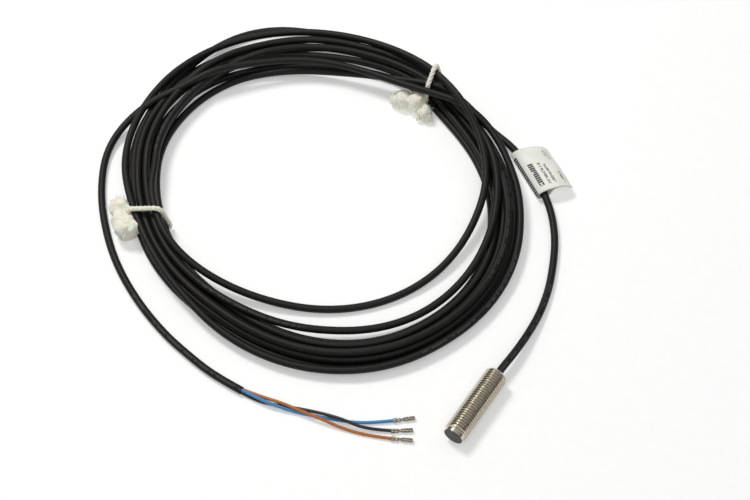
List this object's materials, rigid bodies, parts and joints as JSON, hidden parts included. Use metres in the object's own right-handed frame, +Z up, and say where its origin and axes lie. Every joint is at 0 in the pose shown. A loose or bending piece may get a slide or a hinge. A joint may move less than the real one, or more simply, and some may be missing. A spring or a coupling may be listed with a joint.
{
  "type": "inductive proximity sensor",
  "caption": "Small threaded cylindrical proximity sensor with a dark sensing face and a long thin lead, wound in a flat tied coil with crimp contacts on its wires.",
  "frame": {"origin": "on the floor under the middle of the sensor's barrel", "axes": "+Z up, +Y along the barrel towards the lead, the sensing face looks to -Y"},
  "size_m": [0.1777, 0.1547, 0.0084],
  "materials": {
    "nickel": "nickel-plated, satin",
    "face_plastic": "fine matte",
    "ferrite": "sintered, dull",
    "bobbin_plastic": "moulded",
    "copper": "enamelled copper wire",
    "board": "glass-fibre board with solder resist",
    "chip_plastic": "moulded package",
    "glass_body": "coated glass",
    "resistor": "chip resistor",
    "capacitor": "chip capacitor",
    "solder": "bright solder",
    "ring_metal": "crimped ring",
    "plug_plastic": "moulded, dark",
    "resin": "cast resin",
    "jacket": "soft matte black",
    "cotton": "twisted undyed cotton",
    "label_paper": "satin label paper",
    "wire_blue": "single wire insulation",
    "wire_black": "single wire insulation",
    "wire_brown": "single wire insulation",
    "contact_metal": "tinned"
  },
  "bodies": {
    "root": {"barrel": "nickel", "sensing_cap": "face_plastic", "ferrite_core": "ferrite", "coil_bobbin": "bobbin_plastic", "coil_winding": "copper", "winding_ends": "copper", "circuit_board": "board", "oscillator_chip": "chip_plastic", "output_transistor": "chip_plastic", "protection_diode": "glass_body", "trim_resistor": "resistor", "chip_resistors": "resistor", "chip_capacitors": "capacitor", "inner_wire_brown": "wire_brown", "inner_wire_blue": "wire_blue", "inner_wire_black": "wire_black", "solder_joints": "solder", "crimp_ring": "ring_metal", "rear_plug": "plug_plastic", "potting_resin": "resin", "cable_lead": "jacket", "cable_coil": "jacket", "cable_tail": "jacket", "tie_left": "cotton", "tie_right": "cotton", "cable_label": "label_paper", "wire_blue": "wire_blue", "wire_black": "wire_black", "wire_brown": "wire_brown", "contact_blue": "contact_metal", "contact_black": "contact_metal", "contact_brown": "contact_metal"}
  },
  "joints": []
}
